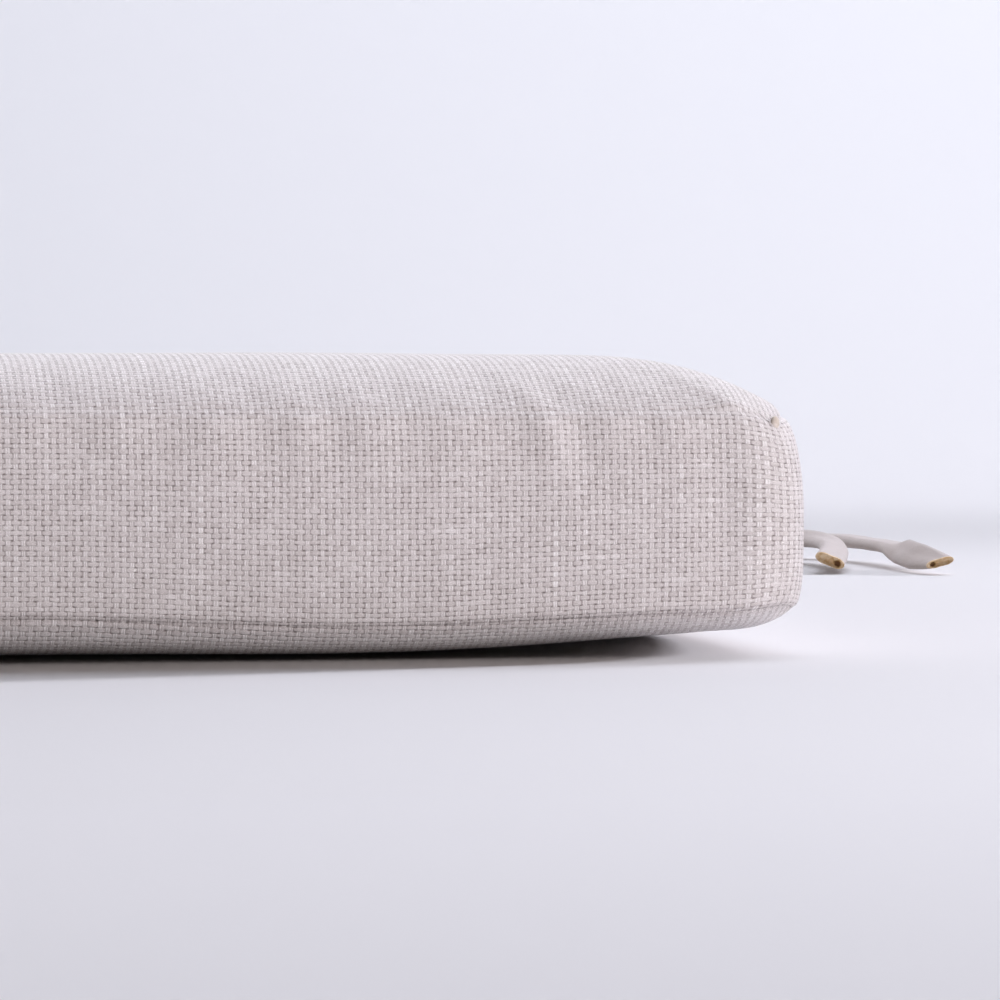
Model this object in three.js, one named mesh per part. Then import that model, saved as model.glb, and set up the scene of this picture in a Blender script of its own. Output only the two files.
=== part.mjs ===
import * as THREE from "three";

// A square boxed seat cushion for a garden chair, with a pair of tie tails at each back corner.
// Millimetres, +Z up, front towards -Y. The origin is on the floor, under the cushion's middle.
// The filled cover is one solid: a crowned upper panel, a boxing band and a lower panel that
// meet at two plain seams. It lies on the flat patch under the lower panel, with its corners
// just off the floor.

// Driving dimensions
const SEAM_HALF = 219.3; // half the width and depth of the panels, seam to seam
const CORNER_RADIUS = 15; // of the seams, seen from above
const DRAWN_IN = 3; // how far the seams pull in at the middle of each side
const UPPER_SEAM = 59.7; // height above the floor
const LOWER_SEAM = 9.7;
const SWELL = 1.4; // rise of the upper panel from its rolled edge to its middle
const BAND_BULGE = 4.6; // how far the band stands out between the seams
const CORNER_BULGE = 1.6; // more of it at the corners
const CORNER_BULGE_REACH = 20; // length of straight seam over which that builds up
const FLOOR_SOFTNESS = 1.5; // rounding where the lower panel lands on the floor
const TIE_WIDTH = 10.5;
const TIE_THICKNESS = 5;
const TIE_ROOT_GAP = 0.3; // outwards and down from the lower seam to the tie's root
const TIE_EXIT = { out: 3.9, down: 3.4 }; // first stretch of a tie, square to the slope at its seam

// Rolls: a height gained within a width from the seam, steeper at the seam the higher the power
const CROWN = { height: 13, width: 52, power: 3 };
const HANG_NEAR = { height: 5.8, width: 14, power: 3.6 };
const HANG_WIDE = { height: 7, width: 135, power: 2.2 };

// Profile of the band's two halves: fuller the higher the power, blunter the lower the blunt
const BAND_UPPER_HALF = { power: 1.9, blunt: 0.52 };
const BAND_LOWER_HALF = { power: 2.8, blunt: 0.5 };

// Unevenness of the sewn and filled cover
const UPPER_WAVE = { rise: 0.3, count: 5, start: 10 };
const LOWER_WAVE = { rise: -1.2, count: 10, start: 115 };
const CORNER_DROOP = { depth: 2.6, before: 7, after: 26 };
const CORNER_TROUGH = { depth: 1.3, width: 7, place: 201 };
const PUCKER = { depth: 0.55, count: 84, beat: 37, unevenness: 0.4, start: 0.08, fade: 0.45 };
const SEAM_FADE = 16; // power by which a seam's unevenness dies away into its panel

// Mesh steps
const SIDE_STEPS = 72;
const CORNER_STEPS = 8;
const BAND_LEVELS = [0.08, 0.25, 0.5, 0.75, 0.92];
const UPPER_INSETS = [
  { inset: 3, every: 1 },
  { inset: 8, every: 1 },
  { inset: 16, every: 1 },
  { inset: 28, every: 2 },
  { inset: 50, every: 2 },
  { inset: 120, every: 4 },
];
const LOWER_INSETS = [
  { inset: 3, every: 1 },
  { inset: 8, every: 1 },
  { inset: 18, every: 1 },
  { inset: 44, every: 2 },
  { inset: 84, every: 40 }, // outline of the flat patch on the floor, in few points to lie steady
];
const TIE_STEPS = 34;
const TIE_SIDES = 10;

// Colours and finish
const COVER = { color: 0xb9aca8, roughness: 0.92, metalness: 0 };
const TIE_TAPE = { color: 0xc3b8b6, roughness: 0.88, metalness: 0 };

// The tails of the right back corner: root is the distance along the back from its middle, where
// the tail leaves the lower seam, and route runs on to the free end. turn is the angle in degrees by
// which the flat of the tape is turned about its route, 0 where it lies flat.
const TAILS = [
  {
    name: "inner",
    root: 198.5,
    route: [
      { x: 199.8, y: 237, z: 3.6, turn: 0 },
      { x: 206, y: 256, z: 2.8, turn: 0 },
      { x: 222, y: 276, z: 2.8, turn: 0 },
      { x: 246, y: 291, z: 2.8, turn: 0 },
      { x: 276, y: 300, z: 2.9, turn: -2 },
      { x: 308, y: 302, z: 4.8, turn: 4 },
      { x: 336, y: 294, z: 7.8, turn: 18 },
      { x: 352, y: 276, z: 9.0, turn: 24 },
      { x: 356, y: 253, z: 8.6, turn: 8 },
      { x: 353, y: 229, z: 7.1, turn: -14 },
      { x: 347, y: 208, z: 5.7, turn: -20 },
      { x: 341, y: 190, z: 4.7, turn: -22 },
    ],
  },
  {
    name: "outer",
    root: 186.5,
    route: [
      { x: 187, y: 240, z: 3.4, turn: 0 },
      { x: 192, y: 264, z: 2.8, turn: 0 },
      { x: 206, y: 290, z: 2.8, turn: 0 },
      { x: 230, y: 308, z: 2.8, turn: 0 },
      { x: 264, y: 319, z: 2.9, turn: 2 },
      { x: 300, y: 325, z: 4.4, turn: 4 },
      { x: 334, y: 325, z: 6.2, turn: 5 },
      { x: 360, y: 314, z: 7.2, turn: 4 },
      { x: 373, y: 292, z: 7.4, turn: 2 },
      { x: 376, y: 265, z: 7.3, turn: 0 },
      { x: 376, y: 238, z: 7.2, turn: 0 },
      { x: 375, y: 226, z: 7.0, turn: 6 },
      { x: 374, y: 214, z: 6.5, turn: 46 },
      { x: 373, y: 194, z: 5.6, turn: 48 },
      { x: 376, y: 177, z: 4.3, turn: 13 },
    ],
  },
];
const CORNERS = [
  { name: "right", mirror: 1 },
  { name: "left", mirror: -1 },
];

const STRAIGHT_HALF = SEAM_HALF - CORNER_RADIUS;
const ARC = (CORNER_RADIUS * Math.PI) / 2;
const QUARTER = 2 * STRAIGHT_HALF + ARC;
const ROUND = 4 * QUARTER;

function bell(distance, width) {
  return Math.exp(-((distance / width) ** 2));
}

// Share of a roll that is reached at an inset: 0 at the seam, 1 from its width inwards.
function reached(inset, { width, power }) {
  return 1 - (1 - Math.min(Math.max(inset / width, 0), 1)) ** power;
}

// The seam's place at a distance along it, anticlockwise from the middle of the front: the point,
// the direction out of the cushion, and the distance from the middle of its own side.
function seamAt(along) {
  const side = Math.round(along / QUARTER);
  const t = along - side * QUARTER;
  const bend = Math.max(Math.abs(t) - STRAIGHT_HALF, 0) / CORNER_RADIUS;
  const outward = new THREE.Vector2(Math.sign(t) * Math.sin(bend), -Math.cos(bend));
  const point = new THREE.Vector2(
    Math.sign(t) * Math.min(Math.abs(t), STRAIGHT_HALF),
    -STRAIGHT_HALF,
  ).addScaledVector(outward, CORNER_RADIUS);
  const share = Math.min(Math.abs(t) / STRAIGHT_HALF, 1);
  point.y += DRAWN_IN * (1 - share ** 2) ** 2;
  const middle = new THREE.Vector2();
  const angle = (side * Math.PI) / 2;
  return {
    along,
    t,
    point: point.rotateAround(middle, angle),
    outward: outward.rotateAround(middle, angle),
  };
}

function wave(shape, along) {
  return shape.rise * Math.cos((2 * Math.PI * shape.count * (along - shape.start)) / ROUND);
}

// Distance along the seam to the middle of the nearest corner.
function fromCorner(seam) {
  return Math.abs(Math.abs(seam.t) - QUARTER / 2);
}

function upperSeam(seam) {
  const width = seam.t > 0 ? CORNER_DROOP.before : CORNER_DROOP.after;
  const droop = CORNER_DROOP.depth * bell(fromCorner(seam), width);
  return UPPER_SEAM + wave(UPPER_WAVE, seam.along) - droop;
}

function lowerSeam(seam) {
  return LOWER_SEAM + wave(LOWER_WAVE, seam.along);
}

// The band's stand-out at a level from 0 at the lower seam to 1 at the upper.
function bulge(seam, level) {
  const reach = CORNER_BULGE_REACH + ARC / 2;
  const full = BAND_BULGE + CORNER_BULGE * Math.max(1 - fromCorner(seam) / reach, 0);
  const half = level > 0.5 ? BAND_UPPER_HALF : BAND_LOWER_HALF;
  return full * (1 - Math.abs(2 * level - 1) ** half.power) ** half.blunt;
}

// Soft folds in the band: puckers that hang from the upper seam, and a trough beside each corner.
function folds(seam, level) {
  const turn = (2 * Math.PI * seam.along) / ROUND;
  const uneven = 1 - PUCKER.unevenness * (1 - Math.cos(PUCKER.beat * turn));
  const pucker = Math.cos(PUCKER.count * turn) * uneven;
  const hang = Math.min(1, (1 - level) / PUCKER.start) * bell(1 - level, PUCKER.fade);
  const trough = bell(Math.abs(seam.t) - CORNER_TROUGH.place, CORNER_TROUGH.width);
  const held = Math.sin(Math.PI * level);
  return PUCKER.depth * pucker * hang - CORNER_TROUGH.depth * trough * held;
}

function bandPoint(seam, level) {
  const low = lowerSeam(seam);
  const out = bulge(seam, level) + (level > 0 && level < 1 ? folds(seam, level) : 0);
  const flat = seam.point.clone().addScaledVector(seam.outward, out);
  return new THREE.Vector3(flat.x, flat.y, low + (upperSeam(seam) - low) * level);
}

// Half the width of the panels at a distance from their middle line.
function halfWidth(across) {
  const past = Math.min(Math.max(Math.abs(across) - STRAIGHT_HALF, 0), CORNER_RADIUS);
  return STRAIGHT_HALF + Math.sqrt(CORNER_RADIUS ** 2 - past ** 2);
}

// Height of a roll from all four sides, as a product, so that it stays low in the corners.
function pillow(flat, roll) {
  const fromSides = halfWidth(flat.y) - Math.abs(flat.x);
  const fromEnds = halfWidth(flat.x) - Math.abs(flat.y);
  return roll.height * reached(fromSides, roll) * reached(fromEnds, roll);
}

function upperPoint(seam, share) {
  const flat = seam.point.clone().multiplyScalar(share);
  const seamHeight = UPPER_SEAM + (upperSeam(seam) - UPPER_SEAM) * share ** SEAM_FADE;
  const rise = pillow(flat, CROWN) + SWELL * (1 - share ** 2);
  return new THREE.Vector3(flat.x, flat.y, seamHeight + rise);
}

// A free height as the floor holds it up: eased in over FLOOR_SOFTNESS on both sides of 0.
function land(height) {
  const eased = Math.max(height + FLOOR_SOFTNESS, 0) ** 2 / (4 * FLOOR_SOFTNESS);
  return height >= FLOOR_SOFTNESS ? height : eased;
}

function lowerPoint(seam, share) {
  const flat = seam.point.clone().multiplyScalar(share);
  const seamHeight = LOWER_SEAM + (lowerSeam(seam) - LOWER_SEAM) * share ** SEAM_FADE;
  const near = HANG_NEAR.height * reached((1 - share) * SEAM_HALF, HANG_NEAR);
  const free = seamHeight - near - pillow(flat, HANG_WIDE);
  return new THREE.Vector3(flat.x, flat.y, land(free));
}

// Closed mesh from rings of points that run from the middle of the lower panel to the middle of
// the upper one. A ring may hold every second point of its neighbour.
function skin(lowMiddle, rings, topMiddle) {
  const points = [lowMiddle, ...rings.flat(), topMiddle];
  const faces = [];
  const starts = [];
  let start = 1;
  for (const ring of rings) {
    starts.push(start);
    start += ring.length;
  }
  // Index of the n-th point of a ring, counted round and round.
  const at = (ring, n) => starts[ring] + (n % rings[ring].length);
  const fan = (middle, ring, back, ahead) => {
    for (let i = 0; i < rings[ring].length; i++) {
      faces.push(middle, at(ring, i + back), at(ring, i + ahead));
    }
  };
  const strip = (low, high) => {
    const coarse = Math.min(rings[low].length, rings[high].length);
    const lowStep = rings[low].length / coarse;
    const highStep = rings[high].length / coarse;
    for (let i = 0; i < coarse; i++) {
      const lowFirst = i * lowStep;
      const highFirst = i * highStep;
      for (let n = 0; n < lowStep; n++) {
        faces.push(at(low, lowFirst + n), at(low, lowFirst + n + 1), at(high, highFirst));
      }
      for (let n = 0; n < highStep; n++) {
        faces.push(at(low, lowFirst + lowStep), at(high, highFirst + n + 1), at(high, highFirst + n));
      }
    }
  };
  fan(0, 0, 1, 0);
  for (let ring = 1; ring < rings.length; ring++) {
    strip(ring - 1, ring);
  }
  fan(points.length - 1, rings.length - 1, 0, 1);
  const geometry = new THREE.BufferGeometry().setFromPoints(points);
  geometry.setIndex(faces);
  geometry.computeVertexNormals();
  return geometry;
}

function cushionGeometry() {
  const seams = [];
  for (let side = 0; side < 4; side++) {
    const start = side * QUARTER - STRAIGHT_HALF;
    for (let i = 0; i < SIDE_STEPS; i++) {
      seams.push(seamAt(start + (2 * STRAIGHT_HALF * i) / SIDE_STEPS));
    }
    for (let i = 0; i < CORNER_STEPS; i++) {
      seams.push(seamAt(start + 2 * STRAIGHT_HALF + (ARC * i) / CORNER_STEPS));
    }
  }
  const panelRing = (place, { inset, every }) => {
    const kept = seams.filter((_, i) => i % every === 0);
    return kept.map((seam) => place(seam, 1 - inset / SEAM_HALF));
  };
  const lower = LOWER_INSETS.map((row) => panelRing(lowerPoint, row)).reverse();
  const upper = UPPER_INSETS.map((row) => panelRing(upperPoint, row));
  const band = [0, ...BAND_LEVELS, 1].map((level) => seams.map((seam) => bandPoint(seam, level)));
  const middle = seamAt(0);
  return skin(lowerPoint(middle, 0), [...lower, ...band, ...upper], upperPoint(middle, 0));
}

// The first two rows of a tail's route, as it leaves the lower seam at x on the back.
function tieExit(x) {
  const seam = seamAt(2 * QUARTER - x);
  const y = seam.point.y + TIE_ROOT_GAP;
  const z = lowerSeam(seam) - TIE_ROOT_GAP;
  return [
    { x, y, z, turn: 0 },
    { x, y: y + TIE_EXIT.out, z: z - TIE_EXIT.down, turn: 0 },
  ];
}

// A smooth curve whose frames keep the tape level, but for the turn given at each point.
class TapeRoute extends THREE.CatmullRomCurve3 {
  constructor(rows) {
    super(rows.map(({ x, y, z }) => new THREE.Vector3(x, y, z)));
    this.turns = rows.map(({ turn }) => THREE.MathUtils.degToRad(turn));
  }

  turnAt(share) {
    const place = this.getUtoTmapping(share) * (this.turns.length - 1);
    const row = Math.min(Math.floor(place), this.turns.length - 2);
    return THREE.MathUtils.lerp(this.turns[row], this.turns[row + 1], place - row);
  }

  computeFrenetFrames(steps) {
    const up = new THREE.Vector3(0, 0, 1);
    const frames = { tangents: [], normals: [], binormals: [] };
    for (let i = 0; i <= steps; i++) {
      const tangent = this.getTangentAt(i / steps);
      const normal = new THREE.Vector3().crossVectors(tangent, up).normalize();
      normal.applyAxisAngle(tangent, this.turnAt(i / steps));
      frames.tangents.push(tangent);
      frames.normals.push(normal);
      frames.binormals.push(new THREE.Vector3().crossVectors(tangent, normal));
    }
    return frames;
  }
}

function tieGeometry({ root, route }, mirror) {
  const laid = route.map(({ x, y, z, turn }) => ({ x: mirror * x, y, z, turn: mirror * turn }));
  const section = new THREE.Shape();
  section.absellipse(0, 0, TIE_WIDTH / 2, TIE_THICKNESS / 2, 0, 2 * Math.PI);
  return new THREE.ExtrudeGeometry(section, {
    extrudePath: new TapeRoute([...tieExit(mirror * root), ...laid]),
    steps: TIE_STEPS,
    curveSegments: TIE_SIDES / 2,
  });
}

const cushion = new THREE.Group();

function add(name, geometry, material) {
  const mesh = new THREE.Mesh(geometry, material);
  mesh.name = name;
  cushion.add(mesh);
}

add("cushion", cushionGeometry(), new THREE.MeshStandardMaterial(COVER));
const tape = new THREE.MeshStandardMaterial(TIE_TAPE);
for (const corner of CORNERS) {
  for (const tail of TAILS) {
    add(`tie_${corner.name}_${tail.name}`, tieGeometry(tail, corner.mirror), tape);
  }
}

export default cushion;
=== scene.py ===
import math
from collections import namedtuple

import bpy
import numpy as np
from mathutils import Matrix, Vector


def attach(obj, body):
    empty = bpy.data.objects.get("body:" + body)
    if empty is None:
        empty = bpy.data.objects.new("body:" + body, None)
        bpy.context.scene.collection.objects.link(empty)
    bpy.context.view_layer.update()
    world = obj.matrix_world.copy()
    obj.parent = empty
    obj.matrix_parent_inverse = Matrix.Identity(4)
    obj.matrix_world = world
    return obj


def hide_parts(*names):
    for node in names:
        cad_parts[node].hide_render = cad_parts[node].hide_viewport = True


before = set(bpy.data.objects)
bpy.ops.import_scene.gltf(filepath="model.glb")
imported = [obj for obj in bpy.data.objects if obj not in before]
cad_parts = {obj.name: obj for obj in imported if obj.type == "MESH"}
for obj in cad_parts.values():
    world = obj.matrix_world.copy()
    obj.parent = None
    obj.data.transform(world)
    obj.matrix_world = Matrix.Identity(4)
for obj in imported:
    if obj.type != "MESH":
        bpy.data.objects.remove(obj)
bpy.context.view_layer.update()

MM = 0.001
rng = np.random.default_rng(26)

# Camera
# The photograph's view: a long lens low over the floor, turned a little to the right.
CAMERA = {"place": (-0.047, -1.2156, 0.068), "yaw": 11.0, "down": 1.68, "lens": 153.4}


def make_camera():
    yaw, down = math.radians(CAMERA["yaw"]), math.radians(CAMERA["down"])
    ahead = Vector((math.sin(yaw) * math.cos(down), math.cos(yaw) * math.cos(down), -math.sin(down)))
    data = bpy.data.cameras.new("camera")
    data.sensor_width = 36
    data.lens = CAMERA["lens"]
    data.clip_start, data.clip_end = 0.05, 50
    camera = bpy.data.objects.new("camera", data)
    camera.location = CAMERA["place"]
    camera.rotation_euler = ahead.to_track_quat("-Z", "Y").to_euler()
    bpy.context.collection.objects.link(camera)
    bpy.context.scene.camera = camera


make_camera()

# Sizes, in mm, close to those of the solids
SEAM_HALF, CORNER_RADIUS, DRAWN_IN = 219.3, 15.0, 3.0
UPPER_SEAM, LOWER_SEAM, BAND_HEIGHT = 59.7, 9.7, 50
SWELL = 1.4  # rise of the upper panel from its rolled edge to its middle
BAND_BULGE, CORNER_BULGE, CORNER_BULGE_REACH = 4.6, 1.6, 20.0
FLOOR_SOFTNESS = 1.5  # height below which the cloth starts to flatten on the floor
# Height, width and power of the upper panel's rise and of the lower panel's two curves
CROWN = (13.0, 52.0, 3.0)
HANG_NEAR, HANG_WIDE = (6.7, 14.0, 3.2), (6.1, 135.0, 2.2)
BAND_UPPER_HALF, BAND_LOWER_HALF = (1.9, 0.52), (2.8, 0.5)  # power, blunt
UPPER_WAVE, LOWER_WAVE = (0.3, 5, 10.0), (-1.2, 10, 115.0)  # rise, count, start
# The upper seam dips at each corner, and the band has a shallow trough just before it
DROOP_DEPTH, DROOP_BEFORE, DROOP_AFTER = 2.4, 7.0, 16.0
TROUGH_DEPTH, TROUGH_WIDTH, TROUGH_PLACE = 1.3, 7.0, 201.0
LOWER_LIFT, LOWER_LIFT_WIDTH = 1.5, 9.0  # the lower seam is pulled up at the corners
SEAM_FADE = 16  # how fast a seam's own waves die out across a panel
LOWER_OUT, LOWER_OUT_FADE = 2.8, 14.0  # the lower seam stands out a little from the upper one
CORNER_HANG, CORNER_HANG_WIDTH = 0.32, 45.0  # how much less the lower panel hangs at the corners

STRAIGHT_HALF = SEAM_HALF - CORNER_RADIUS
ARC = CORNER_RADIUS * math.pi / 2
QUARTER = 2 * STRAIGHT_HALF + ARC
ROUND = 4 * QUARTER

# Ties
TIE_WIDTH, TIE_THICKNESS = 10.5, 5.0
TIE_ROOT_GAP, TIE_EXIT_OUT, TIE_EXIT_DOWN = 0.3, 3.9, 3.4
TAILS = {  # distance of the root from the back's middle, then x, y, z and turn in degrees
    "inner": (198.5, [
        (199.8, 237, 3.6, 0), (206, 256, 2.8, 0), (222, 276, 2.8, 0), (246, 291, 2.8, 0),
        (276, 300, 2.9, -2), (308, 302, 4.8, 4), (336, 294, 7.8, 18), (352, 276, 9.0, 24),
        (356, 253, 8.6, 8), (353, 229, 7.1, -14), (347, 208, 5.7, -20), (341, 190, 4.7, -22)]),
    "outer": (186.5, [
        (187, 240, 3.4, 0), (192, 264, 2.8, 0), (206, 290, 2.8, 0), (230, 308, 2.8, 0),
        (264, 319, 2.9, 2), (300, 325, 4.4, 4), (334, 325, 6.2, 5), (360, 314, 7.2, 4),
        (373, 292, 7.4, 2), (376, 265, 7.3, 0), (376, 238, 7.2, 0), (375, 226, 7.0, 6),
        (374, 214, 6.5, 46), (373, 194, 5.6, 48), (376, 177, 4.3, 13)]),
}
END_THICKNESS = {"inner": 0.84, "outer": 0.64}  # share of the tape's thickness left at the cut end
PIT_SIDE = {"inner": -1, "outer": 1}  # edge of the end face nearest its dark pit


def lower_seam_height(along):
    rise, count, start = LOWER_WAVE
    corner = np.abs((np.asarray(along, float) / QUARTER) % 1 - 0.5) * QUARTER
    lift = LOWER_LIFT * np.exp(-(corner / LOWER_LIFT_WIDTH) ** 2)
    return LOWER_SEAM + rise * np.cos(2 * np.pi * count * (along - start) / ROUND) + lift


ROUTE_STEPS = 60  # points between two rows of a route


def smooth_route(rows):
    """Dense points and turns of a centripetal curve through the rows."""
    p = np.array([r[:3] for r in rows], float)
    turn = np.radians([r[3] for r in rows])
    ends = np.vstack([2 * p[0] - p[1], p, 2 * p[-1] - p[-2]])
    out, turns = [], []
    for k in range(len(p) - 1):
        p0, p1, p2, p3 = ends[k:k + 4]
        d0, d1, d2 = (max(np.linalg.norm(b - a), 1e-4) ** 0.5 for a, b in ((p0, p1), (p1, p2), (p2, p3)))
        t1 = ((p1 - p0) / d0 - (p2 - p0) / (d0 + d1) + (p2 - p1) / d1) * d1
        t2 = ((p2 - p1) / d1 - (p3 - p1) / (d1 + d2) + (p3 - p2) / d2) * d1
        s = np.linspace(0, 1, ROUTE_STEPS, endpoint=k == len(p) - 2)[:, None]
        out.append((2 * s**3 - 3 * s**2 + 1) * p1 + (s**3 - 2 * s**2 + s) * t1
                   + (3 * s**2 - 2 * s**3) * p2 + (s**3 - s**2) * t2)
        turns.append(turn[k] + (turn[k + 1] - turn[k]) * s[:, 0])
    return np.vstack(out), np.concatenate(turns)


def even_route(rows, step):
    """Points, directions, turns and distances along the route at even steps."""
    dense, turns = smooth_route(rows)
    run = np.concatenate([[0], np.cumsum(np.linalg.norm(np.diff(dense, axis=0), axis=1))])
    at = np.linspace(0, run[-1], int(round(run[-1] / step)) + 1)
    path = np.stack([np.interp(at, run, dense[:, k]) for k in range(3)], 1)
    ahead = np.gradient(path, axis=0)
    ahead /= np.linalg.norm(ahead, axis=1)[:, None]
    return path, ahead, np.interp(at, run, turns), at


def new_object(name, vertices, faces):
    mesh = bpy.data.meshes.new(name)
    mesh.from_pydata([tuple(v) for v in vertices], [], faces)
    mesh.validate()
    mesh.polygons.foreach_set("use_smooth", [True] * len(mesh.polygons))
    obj = bpy.data.objects.new(name, mesh)
    bpy.context.collection.objects.link(obj)
    return obj


TAIL_SIDES, TAIL_STEP = 36, 2.2  # points round a ring, mm between rings
EDGE_POWER, FLAT_POWER = 0.9, 0.86  # the tape is a flattened tube with full edges
HOLLOW_DEPTH, HOLLOW_WIDTH = 0.16, 0.45  # and a shallow hollow along each flat
END_REACH = 9  # mm over which the tape thins towards its cut end
# The melted end, a nearly flat face with a rounded rim: how far each ring is pushed out,
# and its share of the tape's width and thickness
END_RINGS = [
    (0.45, 1.0, 1.0), (0.75, 0.96, 0.95), (0.7, 0.90, 0.86), (0.45, 0.82, 0.72),
    (0.2, 0.70, 0.58), (-0.1, 0.55, 0.42), (-0.3, 0.36, 0.26), (-0.4, 0.16, 0.12)]
PIT_PLACE, PIT_WIDTH, PIT_HEIGHT = 0.52, 0.30, 0.62  # shares of the end face
TAIL_ANGLES = np.linspace(0, 2 * np.pi, TAIL_SIDES, endpoint=False)


def tape_ring(place, ahead, turn, wide, thick):
    side = np.cross(ahead, (0.0, 0.0, 1.0))
    side /= np.linalg.norm(side)
    side = side * math.cos(turn) + np.cross(ahead, side) * math.sin(turn)
    over = np.cross(ahead, side)
    points = []
    for angle in TAIL_ANGLES:
        c, s = math.cos(angle), math.sin(angle)
        x = wide * math.copysign(abs(c) ** EDGE_POWER, c)
        hollow = 1 - HOLLOW_DEPTH * math.exp(-(x / (HOLLOW_WIDTH * wide)) ** 2)
        y = thick * math.copysign(abs(s) ** FLAT_POWER, s) * hollow
        points.append(place + side * x + over * y)
    return points


def tape_rings(which, path, ahead, turns, run, seed):
    """Slightly uneven rings along the tape, then the melted end's. Also each ring's place along it."""
    phase = np.random.default_rng(seed).uniform(0, 2 * np.pi, 3)
    end_share = END_THICKNESS[which]
    rings, places = [], list(run)
    for k, s in enumerate(run):
        soft = (0.10 * math.sin(s / 17 + phase[0]) + 0.05 * math.sin(s / 6.1 + phase[1])
                + 0.03 * math.sin(s / 2.9 + phase[2]))
        near_end = math.exp(-(run[-1] - s) / END_REACH)
        thick = TIE_THICKNESS / 2 * (0.98 + soft * 0.6) * (1 - (1 - end_share) * near_end)
        wide = TIE_WIDTH / 2 * (0.985 - 0.105 * soft) * (1 + 0.02 * near_end)
        rings.append(tape_ring(path[k], ahead[k], turns[k], wide, thick))
    for push, width_share, thickness_share in END_RINGS:
        wide = TIE_WIDTH / 2 * width_share
        thick = TIE_THICKNESS / 2 * end_share * thickness_share
        rings.append(tape_ring(path[-1] + ahead[-1] * push, ahead[-1], turns[-1], wide, thick))
        places.append(run[-1] + abs(push))
    return rings, places


def tape_faces(count):
    """Quads between the rings and a fan at each end. Also the ring from which each face starts."""
    faces, part = [], []
    for k in range(count - 1):
        here, there = k * TAIL_SIDES, (k + 1) * TAIL_SIDES
        for a in range(TAIL_SIDES):
            b = (a + 1) % TAIL_SIDES
            faces.append((here + a, here + b, there + b, there + a))
            part.append(k)
    last, root_middle = (count - 1) * TAIL_SIDES, count * TAIL_SIDES
    for a in range(TAIL_SIDES):
        b = (a + 1) % TAIL_SIDES
        faces += [(root_middle, b, a), (root_middle + 1, last + a, last + b)]
        part += [0, count]
    return faces, part


def wrap_tape(mesh, part, places):
    """The tape's coordinates round and along it, and the melted end's own material."""
    girth = math.pi * (TIE_WIDTH + TIE_THICKNESS) / 2
    melted_from = len(places) - len(END_RINGS) - 1
    uv = mesh.uv_layers.new(name="weave")
    for poly, k in zip(mesh.polygons, part):
        poly.material_index = 0 if k < melted_from else 1
        closes = any(v % TAIL_SIDES > TAIL_SIDES / 2 for v in poly.vertices)
        for loop in poly.loop_indices:
            ring, column = divmod(mesh.loops[loop].vertex_index, TAIL_SIDES)
            if column == 0 and closes:
                column = TAIL_SIDES
            uv.data[loop].uv = (column / TAIL_SIDES * girth, places[min(ring, len(places) - 1)])


def mark_pit(mesh, first_ring, edge):
    """A pit towards one edge of the end face, where the material paints the shade inside the tape's open
    tube.
    """
    pit = np.zeros(len(mesh.vertices))
    for n, (_, width_share, thickness_share) in enumerate(END_RINGS, first_ring):
        across = (width_share * np.cos(TAIL_ANGLES) * edge - PIT_PLACE) / PIT_WIDTH
        upward = thickness_share * np.sin(TAIL_ANGLES) / PIT_HEIGHT
        pit[n * TAIL_SIDES:(n + 1) * TAIL_SIDES] = np.exp(-across ** 2 - upward ** 2)
    mesh.attributes.new("pit", "FLOAT", "POINT").data.foreach_set("value", pit)


def make_tail(name, which, mirror, seed):
    """A flattened tube of tape, cut hot at its free end, with its middle line and length in metres."""
    root, rows = TAILS[which]
    y, z = SEAM_HALF + TIE_ROOT_GAP, lower_seam_height(2 * QUARTER - mirror * root) - TIE_ROOT_GAP
    laid = [(mirror * root, y, z, 0), (mirror * root, y + TIE_EXIT_OUT, z - TIE_EXIT_DOWN, 0)]
    laid += [(mirror * x, y, z, mirror * turn) for x, y, z, turn in rows]
    path, ahead, turns, run = even_route(laid, TAIL_STEP)
    rings, places = tape_rings(which, path, ahead, turns, run, seed)
    faces, part = tape_faces(len(rings))
    middles = [np.mean(rings[0], axis=0), np.mean(rings[-1], axis=0)]
    vertices = [p for ring in rings for p in ring] + middles
    tail = new_object(name, np.array(vertices) * MM, faces)
    wrap_tape(tail.data, part, places)
    mark_pit(tail.data, len(path), PIT_SIDE[which] * mirror)
    return tail, path * MM, run[-1] * MM


tails = []
for side, mirror in (("right", 1), ("left", -1)):
    for n, which in enumerate(TAILS):
        tail, path, length = make_tail(f"tail_{side}_{which}", which, mirror, 11 + n + 5 * mirror)
        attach(tail, "root")
        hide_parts(f"tie_{side}_{which}")
        tails.append(tail)

# Cover
SIDE_STEPS, CORNER_STEPS = 240, 24
BAND_LEVELS = 34
UPPER_RINGS = [  # distance in from the seam, and which columns are kept
    (0.4, 1), (0.9, 1), (1.5, 1), (2.2, 1), (3, 1), (4, 1), (5.2, 1), (6.6, 1), (8.2, 1), (10, 1), (12, 1),
    (14.4, 1), (17, 1), (20, 1), (23.5, 1), (27, 1), (31, 2), (35.5, 2), (40, 2), (45, 2), (51, 2), (58, 2),
    (67, 4), (78, 4), (92, 4), (110, 4), (132, 8), (158, 8), (188, 8)]
LOWER_RINGS = [
    (0.4, 1), (0.9, 1), (1.5, 1), (2.2, 1), (3, 1), (4, 1), (5.2, 1), (6.6, 1), (8.2, 1), (10, 1), (12, 1),
    (14.4, 1), (17, 2), (21, 2), (26, 2), (33, 2), (42, 4), (54, 4), (70, 4), (92, 8), (130, 8), (175, 8)]

WARP_PAIRS, WEFT_ROWS = 960, 42  # round the cushion, and between the seams
WARP_PITCH = ROUND / WARP_PAIRS
WEFT_PITCH = BAND_HEIGHT / WEFT_ROWS
SEAM_SPAN = 52.0  # cloth from the upper seam round the band to the lower seam

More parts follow.
